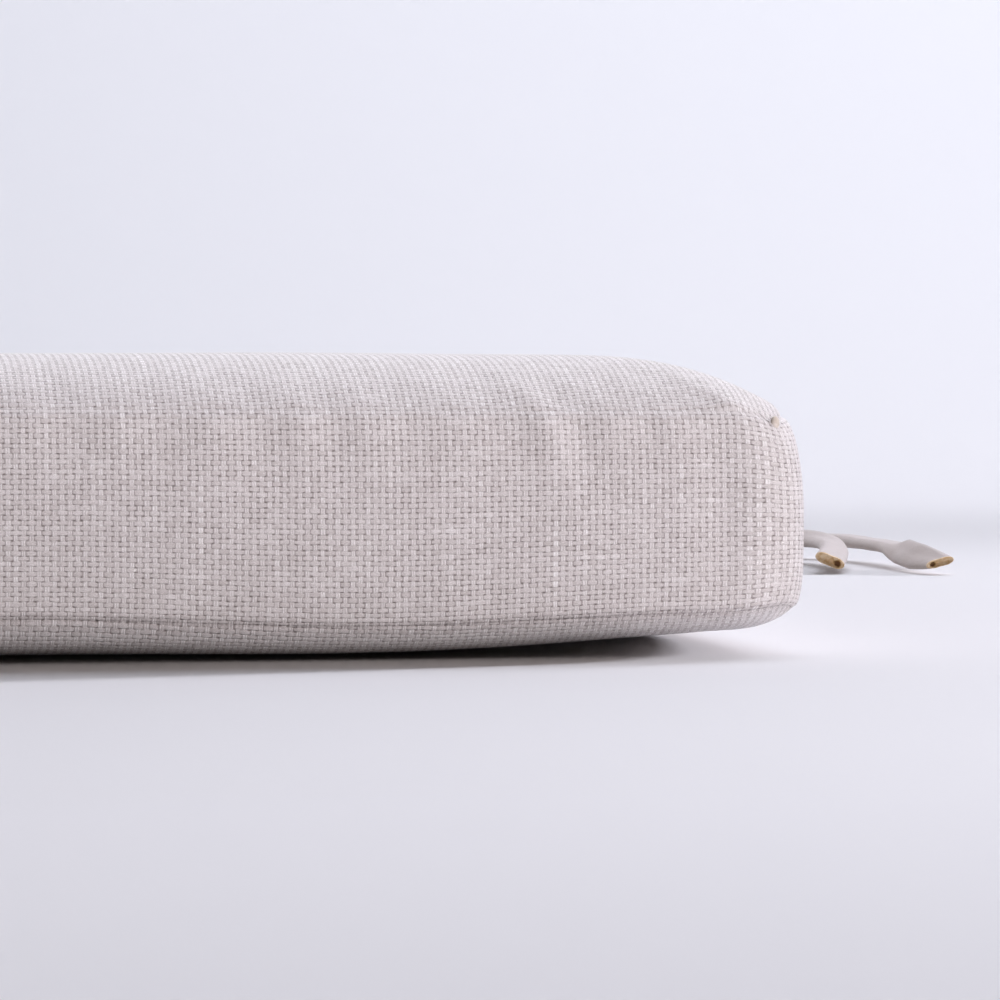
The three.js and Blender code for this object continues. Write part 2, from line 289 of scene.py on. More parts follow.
# Folds of the front: place from its middle, height, half width, length down from the upper seam,
# and how far they slant to the right on the way
FRONT_FOLDS = [
    (33.0, 0.30, 5.0, 16, 1.0), (44.5, -0.26, 4.5, 14, -1.0), (55.0, 0.22, 4.5, 15, 1.0),
    (66.0, -0.22, 4.0, 13, 0.0), (77.5, 0.34, 4.8, 17, 1.5), (88.5, -0.28, 4.0, 13, 0.5),
    (98.5, 0.36, 3.8, 14, 1.0), (106.5, -0.26, 3.2, 12, 0.0), (114.0, 0.34, 3.4, 14, 0.5),
    (125.0, -0.24, 4.2, 12, 0.5), (137.0, 0.20, 4.0, 12, 0.0), (147.0, -0.22, 3.8, 12, 1.0),
    (156.3, 0.62, 3.3, 17, 4.5), (164.6, -0.50, 3.0, 14, 3.0), (174.5, 0.22, 4.0, 12, 0.5),
    (181.0, -0.18, 3.2, 10, 0.0), (188.5, 0.34, 4.0, 16, 0.5)]
FOLD_STRENGTH, FOLD_FADE = 1.7, 1.6
FRONT_FROM, SIDE_REACH = 26, 194  # where the front's own folds start, and where a side's folds end
GATHER_STEP = 11.0


def all_folds():
    """The front's folds, and others of the same kind on its left half and on the other three sides."""
    folds = [(at, FOLD_STRENGTH * height, *rest) for at, height, *rest in FRONT_FOLDS]
    spans = [(-SIDE_REACH, FRONT_FROM)]
    spans += [(QUARTER * side - SIDE_REACH, QUARTER * side + SIDE_REACH) for side in (1, 2, 3)]
    for low, high in spans:
        at, sign = low + rng.uniform(3, 8), 1
        while at < high:
            folds.append((at, sign * FOLD_STRENGTH * rng.uniform(0.16, 0.36), rng.uniform(3.2, 4.8),
                          rng.uniform(11, 17), rng.uniform(-1.5, 2.5)))
            at += rng.uniform(7.5, 13)
            sign = -sign
    return folds


def all_gathers():
    """Small gathers all along the lower seam: place, height, half width, length."""
    gathers = []
    for at in np.arange(-STRAIGHT_HALF, ROUND - STRAIGHT_HALF, GATHER_STEP):
        gathers.append((at + rng.uniform(-3, 3), rng.choice([-1, 1]) * rng.uniform(0.08, 0.22),
                        rng.uniform(3, 5), rng.uniform(5, 9)))
    return gathers


FOLDS = np.array(all_folds())
GATHERS = np.array(all_gathers())


def bell(d, w):
    return np.exp(-(d / w) ** 2)


def reached(inset, roll):
    """Share of a panel's rise or hang that is reached at a distance in from the seam."""
    return 1 - (1 - np.clip(inset / roll[1], 0, 1)) ** roll[2]


def around(d):
    """Distance along the seam, the short way round."""
    return (d + ROUND / 2) % ROUND - ROUND / 2


def seam_at(along):
    """Place, outward direction and distance from the corner of points along the seams' line."""
    side = np.round(along / QUARTER)
    t = along - side * QUARTER
    bend = np.maximum(np.abs(t) - STRAIGHT_HALF, 0) / CORNER_RADIUS
    sign = np.where(t < 0, -1.0, 1.0)
    ox, oy = sign * np.sin(bend), -np.cos(bend)
    px = sign * np.minimum(np.abs(t), STRAIGHT_HALF) + CORNER_RADIUS * ox
    py = -STRAIGHT_HALF + CORNER_RADIUS * oy
    share = np.minimum(np.abs(t) / STRAIGHT_HALF, 1)
    py = py + DRAWN_IN * (1 - share**2) ** 2
    c, s = np.round(np.cos(side * np.pi / 2)), np.round(np.sin(side * np.pi / 2))
    return {"along": along, "t": t, "x": c * px - s * py, "y": s * px + c * py,
            "ox": c * ox - s * oy, "oy": s * ox + c * oy,
            "corner": np.abs(np.abs(t) - QUARTER / 2)}


def upper_seam(seam):
    rise, count, start = UPPER_WAVE
    width = np.where(seam["t"] > 0, DROOP_BEFORE, DROOP_AFTER)
    wave = rise * np.cos(2 * np.pi * count * (seam["along"] - start) / ROUND)
    return UPPER_SEAM + wave - DROOP_DEPTH * bell(seam["corner"], width)


def fold_height(along, depth):
    """How far the folds at the upper seam stand out, at a depth from it on either side."""
    total = np.zeros(np.broadcast(along, depth).shape)
    for at, height, width, length, slant in FOLDS:
        place = around(along - at - slant * depth / length)
        rise = height * bell(place, width * (1 + 0.5 * depth / length))
        total += rise * np.exp(-(depth / length) ** FOLD_FADE)
    return total * np.clip(depth / 2.5, 0, 1) ** 0.7


def gather_height(along, depth):
    """The same for the small gathers at the lower seam."""
    total = np.zeros(np.broadcast(along, depth).shape)
    for at, height, width, length in GATHERS:
        total += height * bell(around(along - at), width) * np.exp(-(depth / length) ** FOLD_FADE)
    return total * np.clip(depth / 2, 0, 1) ** 0.7


def seam_dent(distance):
    """How far the stitches pull the cloth in, in a narrow line beside a seam."""
    return 0.28 * np.exp(-(distance / 0.6) ** 1.5)


RIPPLE_WAVES = 7


def ripple(x, y, seed, scale):
    """Slow unevenness of the filling, a sum of a few waves."""
    waves = np.random.default_rng(seed)
    total = 0
    for _ in range(RIPPLE_WAVES):
        angle, size = waves.uniform(0, 2 * np.pi), scale * waves.uniform(0.7, 1.9)
        along_wave = x * math.cos(angle) + y * math.sin(angle)
        total = total + np.sin(2 * np.pi * along_wave / size + waves.uniform(0, 6.3))
    return total / RIPPLE_WAVES


def bulge(seam, level):
    """How far the band stands out from the seams' line, at a level from 0 at the lower seam to 1."""
    reach = CORNER_BULGE_REACH + ARC / 2
    full = BAND_BULGE + CORNER_BULGE * np.maximum(1 - seam["corner"] / reach, 0)
    power, blunt = BAND_UPPER_HALF if level > 0.5 else BAND_LOWER_HALF
    start = 0.0 if level > 0.5 else LOWER_OUT
    return start + (full - start) * max(1 - abs(2 * level - 1) ** power, 0) ** blunt


def band_ring(seam, level):
    low, high = lower_seam_height(seam["along"]), upper_seam(seam)
    below, above = (1 - level) * BAND_HEIGHT, level * BAND_HEIGHT
    out = bulge(seam, level)
    trough = bell(np.abs(seam["t"]) - TROUGH_PLACE, TROUGH_WIDTH) * math.sin(math.pi * level)
    out = out - TROUGH_DEPTH * trough
    out = out + fold_height(seam["along"], below) + gather_height(seam["along"], above)
    out = out + 0.30 * ripple(seam["along"], above * 1.6, seed=5, scale=60) * math.sin(math.pi * level)
    out = out - seam_dent(below) - seam_dent(above)
    x, y = seam["x"] + seam["ox"] * out, seam["y"] + seam["oy"] * out
    return np.stack([x, y, low + (high - low) * level], 1)


def half_width(across):
    past = np.clip(np.abs(across) - STRAIGHT_HALF, 0, CORNER_RADIUS)
    return STRAIGHT_HALF + np.sqrt(CORNER_RADIUS**2 - past**2)


def pillow(x, y, roll):
    """A panel's rise or hang, growing from all four sides."""
    return roll[0] * reached(half_width(y) - np.abs(x), roll) * reached(half_width(x) - np.abs(y), roll)


def crown(x, y):
    """The upper panel's rise, as full at the corners as along the sides."""
    a = 1 - reached(half_width(y) - np.abs(x), CROWN)
    b = 1 - reached(half_width(x) - np.abs(y), CROWN)
    return CROWN[0] * (1 - (a**4 + b**4) ** 0.25)


def upper_ring(seam, inset):
    share = 1 - inset / SEAM_HALF
    x, y = seam["x"] * share, seam["y"] * share
    z = UPPER_SEAM + (upper_seam(seam) - UPPER_SEAM) * share**SEAM_FADE
    z = z + crown(x, y) - crown(seam["x"], seam["y"]) * share**30 + SWELL * (1 - share**2)
    lift = 0.7 * fold_height(seam["along"], np.float64(inset * 1.2))
    z = z + lift + 0.5 * ripple(x, y, seed=8, scale=120) * min(inset / 30, 1) - 0.8 * seam_dent(inset)
    return np.stack([x - 0.35 * lift * seam["ox"], y - 0.35 * lift * seam["oy"], z], 1)


def land(h):
    """The height at which the cloth lies, flattened where it would go through the floor."""
    flattened = np.maximum(h + FLOOR_SOFTNESS, 0) ** 2 / (4 * FLOOR_SOFTNESS)
    return np.where(h >= FLOOR_SOFTNESS, h, flattened)


def lower_ring(seam, inset):
    share = 1 - inset / SEAM_HALF
    x, y = seam["x"] * share, seam["y"] * share
    z = LOWER_SEAM + (lower_seam_height(seam["along"]) - LOWER_SEAM) * share**SEAM_FADE
    hang = HANG_NEAR[0] * (1 - CORNER_HANG * bell(seam["corner"], CORNER_HANG_WIDTH))
    z = z - hang * reached(inset, HANG_NEAR) - pillow(x, y, HANG_WIDE)
    z = z - 0.5 * gather_height(seam["along"], np.float64(inset)) + 0.8 * seam_dent(inset)
    out = LOWER_OUT * math.exp(-inset / LOWER_OUT_FADE)
    return np.stack([x + seam["ox"] * out, y + seam["oy"] * out, land(z)], 1)


def band_cloth():
    """Share of the band's cloth that lies below a level, half of it from a side's own section."""
    level = np.linspace(0, 1, 2001)
    power = np.where(level > 0.5, BAND_UPPER_HALF[0], BAND_LOWER_HALF[0])
    blunt = np.where(level > 0.5, BAND_UPPER_HALF[1], BAND_LOWER_HALF[1])
    out = BAND_BULGE * (1 - np.abs(2 * level - 1) ** power) ** blunt
    run = np.concatenate([[0], np.cumsum(np.hypot(np.diff(out), np.diff(level) * (UPPER_SEAM - LOWER_SEAM)))])
    return lambda at: 0.5 * np.interp(at, level, run / run[-1]) + 0.5 * at


def arc_length(height_at):
    """Length of cloth from the middle of a panel to a place, along its middle line."""
    x = np.linspace(0, SEAM_HALF, 900)
    z = height_at(x)
    run = np.concatenate([[0], np.cumsum(np.hypot(np.diff(x), np.diff(z)))])
    return lambda p: np.sign(p) * np.interp(np.abs(p), x, run)


PANEL_CLOTH = {
    "upper": arc_length(lambda x: CROWN[0] * reached(SEAM_HALF - x, CROWN)),
    "lower": arc_length(lambda x: -HANG_NEAR[0] * reached(SEAM_HALF - x, HANG_NEAR)
                        - HANG_WIDE[0] * reached(SEAM_HALF - x, HANG_WIDE))}
band_share = band_cloth()


def panel_cloth(panel, x, y):
    """Cloth coordinates, in mm, of places on a panel."""
    return np.stack([PANEL_CLOTH[panel](x), PANEL_CLOTH[panel](y)], 1)


# A ring of points round the cover. Its place is the inset from the seam, or the level on the band,
# and it keeps every so many of the columns.
Ring = namedtuple("Ring", "points cloth place every panel")


def column_places():
    """Where the columns stand along the seam, closer round the corners."""
    places = []
    for side in range(4):
        start = side * QUARTER - STRAIGHT_HALF
        places += [start + 2 * STRAIGHT_HALF * i / SIDE_STEPS for i in range(SIDE_STEPS)]
        places += [start + 2 * STRAIGHT_HALF + ARC * i / CORNER_STEPS for i in range(CORNER_STEPS)]
    return np.array(places)


def thinned(seam, every):
    return {k: v[::every] for k, v in seam.items()}


def cover_rings(seam):
    """All rings of the cover, from the middle of the underside up to the middle of the top."""
    rings = []
    for inset, every in reversed(LOWER_RINGS):
        s = thinned(seam, every)
        share = 1 - inset / SEAM_HALF
        cloth = panel_cloth("lower", s["x"] * share, s["y"] * share)
        rings.append(Ring(lower_ring(s, inset), cloth, inset, every, "lower"))
    for k in range(BAND_LEVELS + 1):
        eased = 0.5 - 0.5 * math.cos(math.pi * k / BAND_LEVELS)
        level = 0.55 * eased + 0.45 * k / BAND_LEVELS
        rings.append(Ring(band_ring(seam, level), None, level, 1, "band"))
    for inset, every in UPPER_RINGS:
        points = upper_ring(thinned(seam, every), inset)
        rings.append(Ring(points, panel_cloth("upper", points[:, 0], points[:, 1]), inset, every, "upper"))
    return rings


class CoverFaces:
    """The faces between the cover's rings, with each corner's place on the cloth and by the seam."""

    def __init__(self, places, seam, rings):
        self.places, self.rings = places, rings
        self.seam_cloth = {panel: panel_cloth(panel, seam["x"], seam["y"]) for panel in PANEL_CLOTH}
        self.starts = [1]  # vertex 0 is the middle of the underside
        for ring in rings:
            self.starts.append(self.starts[-1] + len(ring.points))
        self.faces, self.weave, self.by_seam = [], [], []

    def vertex(self, k, i):
        return self.starts[k] + i % len(self.rings[k].points)

    def add_corner(self, k, i, panel):
        """Cloth coordinates in warp pairs and weft rows, and the places along and across the seams."""
        ring = self.rings[k]
        turns, column = divmod(i * ring.every, len(self.places))
        along = self.places[column] + turns * ROUND
        if panel == "band":
            share = band_share(ring.place)
            self.weave.append((along / WARP_PITCH, share * WEFT_ROWS))
            self.by_seam.append((along, (1 - share) * SEAM_SPAN))
            return
        at_seam = ring.panel == "band"
        cloth = self.seam_cloth[panel][column] if at_seam else ring.cloth[i % len(ring.points)]
        inset = 0.0 if at_seam else ring.place
        self.weave.append((cloth[0] / WARP_PITCH, cloth[1] / WEFT_PITCH))
        self.by_seam.append((along, -inset if panel == "upper" else SEAM_SPAN + inset))

    def add(self, corners, panel):
        self.faces.append(tuple(self.vertex(k, i) for k, i in corners))
        for k, i in corners:
            self.add_corner(k, i, panel)

    def join_even(self, k, panel):
        for i in range(len(self.rings[k].points)):
            self.add(((k - 1, i), (k - 1, i + 1), (k, i + 1), (k, i)), panel)

    def join_uneven(self, fine, coarse, panel):
        """Triangles between a ring and a neighbour that has fewer points."""
        turn = 1 if fine < coarse else -1
        count = len(self.rings[coarse].points)
        step = len(self.rings[fine].points) // count
        for i in range(count):
            middle = i * step + step // 2
            for f in range(i * step, (i + 1) * step):
                tip = (coarse, i if f < middle else i + 1)
                self.add(((fine, f), (fine, f + 1), tip)[::turn], panel)
            self.add(((fine, middle), (coarse, i + 1), (coarse, i))[::turn], panel)

    def join_rings(self):
        for k in range(1, len(self.rings)):
            lower, upper = self.rings[k - 1], self.rings[k]
            panel = upper.panel if lower.panel == "band" else lower.panel
            if len(lower.points) == len(upper.points):
                self.join_even(k, panel)
            elif len(lower.points) > len(upper.points):
                self.join_uneven(k - 1, k, panel)
            else:
                self.join_uneven(k, k - 1, panel)

    def close(self, k, middle, panel, turn):
        """A fan from a panel's innermost ring to the vertex in its middle."""
        for i in range(len(self.rings[k].points)):
            ends = (i, i + 1)[::turn]
            self.faces.append((middle, *(self.vertex(k, q) for q in ends)))
            self.weave.append((0.0, 0.0))
            self.by_seam.append((0.0, -SEAM_HALF if panel == "upper" else SEAM_SPAN + SEAM_HALF))
            for q in ends:
                self.add_corner(k, q, panel)


def make_cover():
    places = column_places()
    seam, middle = seam_at(places), seam_at(np.array([0.0]))
    rings = cover_rings(seam)
    points = [lower_ring(middle, SEAM_HALF), *(ring.points for ring in rings), upper_ring(middle, SEAM_HALF)]
    vertices = np.vstack(points)
    made = CoverFaces(places, seam, rings)
    made.join_rings()
    made.close(0, 0, "lower", -1)
    made.close(len(rings) - 1, len(vertices) - 1, "upper", 1)
    cover = new_object("cover", vertices * MM, made.faces)
    for name, values in (("weave", made.weave), ("seam", made.by_seam)):
        layer = cover.data.uv_layers.new(name=name)
        layer.data.foreach_set("uv", np.array(values, dtype=np.float32).ravel())
    return cover


cover = make_cover()
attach(cover, "root")
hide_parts("cushion")

# Corner tucks
TUCK_PLACE = 214.4  # along the seam from the middle of a side
TUCK_OUT, TUCK_DOWN = 1.7, 0.7  # its middle, from the seam
TUCK_SIZE = (1.3, 1.7, 1.0)  # half its width, height and depth
TUCK_TURNS, TUCK_LEVELS = 16, 10


def corner_tuck(number):
    """The small rounded end of a seam allowance that shows at a corner of the upper seam."""
    seam = seam_at(np.array([(number - 1) * QUARTER + TUCK_PLACE]))
    out = np.array([seam["ox"][0], seam["oy"][0], 0])
    along = np.array([-out[1], out[0], 0])
    centre = np.array([seam["x"][0], seam["y"][0], upper_seam(seam)[0] - TUCK_DOWN]) + out * TUCK_OUT
    width, height, depth = TUCK_SIZE
    vertices = []
    for k in range(1, TUCK_LEVELS):
        lift = math.pi * (k / TUCK_LEVELS - 0.5)
        level = np.array([0, 0, height * math.sin(lift)])
        for a in np.linspace(0, 2 * math.pi, TUCK_TURNS, endpoint=False):
            across = along * width * math.cos(a) + out * depth * math.sin(a)
            vertices.append((centre + across * math.cos(lift) + level) * MM)
    faces = []
    for here in range(0, (TUCK_LEVELS - 2) * TUCK_TURNS, TUCK_TURNS):
        there = here + TUCK_TURNS
        for a in range(TUCK_TURNS):
            b = (a + 1) % TUCK_TURNS
            faces.append((here + a, here + b, there + b, there + a))
    faces.append(tuple(range(TUCK_TURNS))[::-1])
    faces.append(tuple(range(len(vertices) - TUCK_TURNS, len(vertices))))
    tuck = new_object(f"corner_tuck_{number}", vertices, faces)
    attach(tuck, "root")
    return tuck


tucks = [corner_tuck(number) for number in (1, 2, 3, 4)]

# Materials
class Term:
    """A shader socket that can be reckoned with like a number."""

    def __init__(self, tree, socket):
        self.tree, self.socket = tree, socket

    def op(self, name, *others, clamp=False):
        node = self.tree.nodes.new("ShaderNodeMath")
        node.operation, node.use_clamp = name, clamp
        for slot, value in zip(node.inputs, (self, *others)):
            if isinstance(value, Term):
                self.tree.links.new(value.socket, slot)
            else:
                slot.default_value = value
        return Term(self.tree, node.outputs[0])

    def __add__(self, other):
        return self.op("ADD", other)

    def __sub__(self, other):
        return self.op("SUBTRACT", other)

    def __rsub__(self, other):
        return self.op("MULTIPLY", -1.0).op("ADD", other)

    def __mul__(self, other):
        return self.op("MULTIPLY", other)

    def __truediv__(self, other):
        return self.op("DIVIDE", other)

    __radd__ = __add__
    __rmul__ = __mul__

    def bell(self, width):
        """1 at zero, falling away on both sides."""
        scaled = self / width
        return (scaled * scaled * -1.0).op("EXPONENT")

    def smooth(self, low, high):
        node = self.tree.nodes.new("ShaderNodeMapRange")
        node.interpolation_type = "SMOOTHSTEP"
        self.tree.links.new(self.socket, node.inputs["Value"])
        for name, value in (("From Min", low), ("From Max", high)):
            if isinstance(value, Term):
                self.tree.links.new(value.socket, node.inputs[name])
            else:
                node.inputs[name].default_value = value
        return Term(self.tree, node.outputs["Result"])


def uv_terms(tree, name):
    node = tree.nodes.new("ShaderNodeUVMap")
    node.uv_map = name
    split = tree.nodes.new("ShaderNodeSeparateXYZ")
    tree.links.new(node.outputs[0], split.inputs[0])
    return Term(tree, split.outputs[0]), Term(tree, split.outputs[1])


def vector(tree, *terms):
    node = tree.nodes.new("ShaderNodeCombineXYZ")
    for slot, value in zip(node.inputs, terms):
        if isinstance(value, Term):
            tree.links.new(value.socket, slot)
        else:
            slot.default_value = value
    return node.outputs[0]


def noise(tree, x, y, z=0.0, detail=1.0, roughness=0.5):
    node = tree.nodes.new("ShaderNodeTexNoise")
    node.noise_dimensions = "3D"
    node.inputs["Scale"].default_value = 1.0
    node.inputs["Detail"].default_value = detail
    node.inputs["Roughness"].default_value = roughness
    tree.links.new(vector(tree, x, y, z), node.inputs["Vector"])
    return Term(tree, node.outputs["Fac"])


def chance(tree, x, y, z=0.0):
    node = tree.nodes.new("ShaderNodeTexWhiteNoise")
    node.noise_dimensions = "3D"
    tree.links.new(vector(tree, x, y, z), node.inputs["Vector"])
    return Term(tree, node.outputs["Value"])


def colour_ramp(tree, factor, stops):
    node = tree.nodes.new("ShaderNodeValToRGB")
    ramp = node.color_ramp
    while len(ramp.elements) < len(stops):
        ramp.elements.new(0.5)
    for element, (at, colour) in zip(ramp.elements, stops):
        element.position, element.color = at, (*colour, 1.0)
    tree.links.new(factor.socket, node.inputs[0])
    return node.outputs[0]


def new_material(name, roughness, sheen):
    material = bpy.data.materials.new(name)
    material.use_nodes = True
    tree = material.node_tree
    shader = tree.nodes["Principled BSDF"]
    shader.inputs["Roughness"].default_value = roughness
    shader.inputs["Sheen Weight"].default_value = sheen
    shader.inputs["Sheen Roughness"].default_value = 0.55
    shader.inputs["Specular IOR Level"].default_value = 0.25
    return material, tree, shader


def add_bump(tree, shader, height, strength, distance):
    bump = tree.nodes.new("ShaderNodeBump")
    bump.inputs["Strength"].default_value = strength
    bump.inputs["Distance"].default_value = distance
    tree.links.new(height.socket, bump.inputs["Height"])
    tree.links.new(bump.outputs[0], shader.inputs["Normal"])


def speckle(tree, scale, detail):
    """Fine noise fixed to the piece itself."""
    place = tree.nodes.new("ShaderNodeTexCoord")
    node = tree.nodes.new("ShaderNodeTexNoise")
    node.inputs["Scale"].default_value = scale
    node.inputs["Detail"].default_value = detail
    tree.links.new(place.outputs["Object"], node.inputs["Vector"])
    return Term(tree, node.outputs["Fac"])


def half_panama(tree, x, y):
    """Single soft weft yarns over and under pairs of warp yarns: the height, and a tone with painted shade in
    the weave's hollows and painted light on the weft floats' upper halves, both 0 to 1.
    """
    x = x + (noise(tree, x * 1.1, y * 0.22, 1.0) - 0.5) * 0.30
    y = y + (noise(tree, x * 0.5, y * 1.1, 2.0) - 0.5) * 0.55
    i, j = x.op("FLOOR"), y.op("FLOOR")
    fx, up = x - i, y - j - 0.5
    shifted = x + j.op("FLOORED_MODULO", 2.0) - 0.5
    # 0 in the middle of a weft float, 1 in the middle of a warp float
    from_float = shifted.op("PINGPONG", 1.0)
    which = (shifted * 0.5).op("ROUND")
    own = chance(tree, which, j, 5.0)
    edge = own * 0.10 + 0.61
    weft_shows = 1.0 - from_float.smooth(edge - 0.10, edge + 0.10)
    # the small holes where four floats meet, the joints between rows and the ends of the weft floats, which
    # the tone darkens as painted shade
    nearest_x, nearest_y = x.op("ROUND"), y.op("ROUND")
    deep = chance(tree, nearest_x, nearest_y, 23.0)
    hole = (x - nearest_x).bell(deep * 0.10 + 0.17) * (y - nearest_y).bell(0.15) * (deep + 0.4)
    joint = (y - nearest_y).bell(0.13)
    column = (x - nearest_x).bell(0.13)
    float_end = (from_float - edge).bell(0.08) * (chance(tree, which, j, 14.0) * 1.3 + 0.2) * (1.0 - joint)
    # the yarns' own unevenness
    pair = (fx * (6 * math.pi)).op("COSINE")
    weft_slub = noise(tree, x * 0.06, j * 3.7, 9.0).smooth(0.60, 0.74)
    warp_slub = noise(tree, i * 3.3, y * 0.03, 4.0).smooth(0.62, 0.76)
    weft_yarn = chance(tree, j, 8.0) * 0.04 + noise(tree, x * 0.10, j * 5.3, 4.0) * 0.14
    warp_yarn = chance(tree, i, 3.0) * 0.06 + noise(tree, i * 5.3, y * 0.06, 2.0) * 0.14
    weft_fibre = noise(tree, x * 2.6, y * 7.0, 7.0) - 0.5
    warp_fibre = noise(tree, x * 9.0, y * 1.8, 17.0) - 0.5
    fuzz = noise(tree, x * 9.0, y * 6.0, 19.0) - 0.5
    neps = noise(tree, x * 0.9, y * 0.7, 31.0).smooth(0.74, 0.80)
    # painted light: up makes each weft float lighter on its upper half and darker on its lower half
    weft = own * 0.07 + up * 0.05 + weft_fibre * 0.38 + weft_yarn + weft_slub * 0.07 + 0.475
    warp_own = chance(tree, i, j, 9.0) * 0.06
    warp = warp_own + pair * 0.065 + warp_fibre * 0.36 + warp_yarn + warp_slub * 0.08 + 0.535
    tone = warp + (weft - warp) * weft_shows + fuzz * 0.42 + neps * 0.12
    # painted shade: the holes, the joints between rows, the ends of the weft floats and the lines between
    # columns are darkened
    tone = tone - hole * 0.30 - joint * (weft_shows * 0.04 + 0.015) - float_end * 0.19 - column * 0.03
    weft_round = 1.0 - (up * 2.0).op("POWER", 4.0)
    weft_height = (from_float * math.pi).op("COSINE") * 0.25 + weft_round * (weft_slub * 0.15 + 0.32) + 0.08
    warp_height = (up * math.pi).op("COSINE") * 0.32 + pair * 0.10 + 0.10
    height = warp_height + (weft_height - warp_height) * weft_shows
    return height - hole * 0.35 - column * 0.04 + fuzz * 0.25, tone


# The cloth's albedo from the painted shade at the bottom of a hole to the brightest fibre
CLOTH_TONES = [(0.10, (0.21, 0.175, 0.165)), (0.35, (0.385, 0.335, 0.325)), (0.59, (0.605, 0.545, 0.54)),
               (0.90, (0.90, 0.86, 0.86))]
STITCH_PITCH, TICK_PITCH = 3.7, 1.05  # mm, on the upper and the lower seam
SLIT_BEFORE_TUCK = 1.9  # mm


def cover_material():
    material, tree, shader = new_material("cover_cloth", 0.9, 0.22)
    x, y = uv_terms(tree, "weave")
    run, depth = uv_terms(tree, "seam")
    height, tone = half_panama(tree, x, y)
    wander = noise(tree, run * 0.5, depth * 0.2, 2.0) - 0.5
    uneven = noise(tree, run * 0.35, 0.0, 6.0).smooth(0.35, 0.7)
    # each stitch of the upper seam pulls a small dimple in the panel above it, darkened as painted shade
    step = ((run + wander * 2.0) / STITCH_PITCH).op("PINGPONG", 0.5)
    dimple = step.bell(0.10) * (depth + 0.5).bell(0.55) * uneven
    # painted highlight: a thin lighter line along the band just below the upper seam
    painted_lip_highlight = (depth - 0.5).bell(0.4)
    # the lower seam gathers the cloth in short close ticks; these and the seam's line are darkened as painted
    # shade
    tick = ((run + wander) * (2 * math.pi / TICK_PITCH)).op("COSINE") * 0.5 + 0.5
    below = depth - SEAM_SPAN
    gather = tick * (below + 0.2).bell(0.55) * (uneven * 0.7 + 0.3)
    line = (below - 0.1).bell(0.3)
    # a short slit beside the tuck at each corner, painted dark as shade
    from_tuck = (((run - TUCK_PLACE + SLIT_BEFORE_TUCK) / QUARTER + 0.5).op("FRACT") - 0.5) * QUARTER
    slit = from_tuck.bell(0.6) * (depth - 0.8).bell(1.4)
    # painted shade in the dimples, gathers, lower seam line and slits, and a painted highlight on the lip
    # below the upper seam
    tone = tone - dimple * 0.16 + painted_lip_highlight * 0.05 - gather * 0.18 - line * 0.05 - slit * 0.42
    # painted light: the lower panel's cloth is made lighter, standing in for light from the floor below
    tone = tone + below.smooth(0.2, 3.0) * 0.14
    tree.links.new(colour_ramp(tree, tone, CLOTH_TONES), shader.inputs["Base Color"])
    add_bump(tree, shader, height - dimple * 0.4 - gather * 0.4 - line * 0.2, 0.7, 0.32 * MM)
    return material


TAPE_TONES = [(0.0, (0.38, 0.315, 0.28)), (0.5, (0.48, 0.405, 0.365)), (1.0, (0.56, 0.49, 0.455))]
RIB_ROUND, RIB_ALONG = 0.7, 0.8  # mm


def tape_material():
    material, tree, shader = new_material("tie_tape", 0.85, 0.3)
    x, y = uv_terms(tree, "weave")
    rib = (y * (2 * math.pi / RIB_ALONG)).op("SINE") * (x * (2 * math.pi / RIB_ROUND)).op("SINE")
    cloud = noise(tree, x * 0.25, y * 0.12, 1.0, detail=2.0)
    height = rib * 0.12 + noise(tree, x * 1.4, y * 1.1, 4.0, detail=2.0) * 0.5 + cloud
    tone = 0.5 + (cloud - 0.5) * 0.5 + rib * 0.05
    tree.links.new(colour_ramp(tree, tone, TAPE_TONES), shader.inputs["Base Color"])
    add_bump(tree, shader, height, 0.5, 0.6 * MM)
    return material


# The cut end's face, from its pale melted skin through its burnt speckles to the painted shade in the pit
MELTED_TONES = [(0.0, (0.90, 0.72, 0.50)), (0.35, (0.74, 0.50, 0.26)), (0.65, (0.42, 0.24, 0.09)),
                (1.0, (0.14, 0.06, 0.02))]


def melted_material():
    material, tree, shader = new_material("tie_cut_end", 0.5, 0.0)
    node = tree.nodes.new("ShaderNodeAttribute")
    node.attribute_name = "pit"
    pit = Term(tree, node.outputs["Fac"])
    char = speckle(tree, 700, 3)
    # painted shade: the pit is darkened as the shade inside the tape's open tube; the speckles are burnt
    # marks
    tone = char.smooth(0.25, 0.75) * 0.45 + pit.smooth(0.25, 0.8) * 0.75
    tree.links.new(colour_ramp(tree, tone, MELTED_TONES), shader.inputs["Base Color"])
    add_bump(tree, shader, char, 0.6, 0.5 * MM)
    return material


TUCK_TONES = [(0.3, (0.52, 0.43, 0.36)), (0.7, (0.70, 0.62, 0.57))]


def tuck_material():
    material, tree, shader = new_material("tuck_cloth", 0.9, 0.1)
    colour = colour_ramp(tree, speckle(tree, 900, 2), TUCK_TONES)
    tree.links.new(colour, shader.inputs["Base Color"])
    return material


cover.data.materials.append(cover_material())
tuck_cloth = tuck_material()
for tuck in tucks:
    tuck.data.materials.append(tuck_cloth)
tape, melted = tape_material(), melted_material()
for tail in tails:
    tail.data.materials.append(tape)
    tail.data.materials.append(melted)


# Studio, in metres
FLOOR_CENTRE, FLOOR_FLAT = (0.0, -1.1), 2.2
COVE_RUN, COVE_RISE, BACKDROP_TOP = 1.6, 1.6, 6.0
STUDIO_SIDES, STUDIO_PAINT = 96, (0.84, 0.81, 0.775, 1)


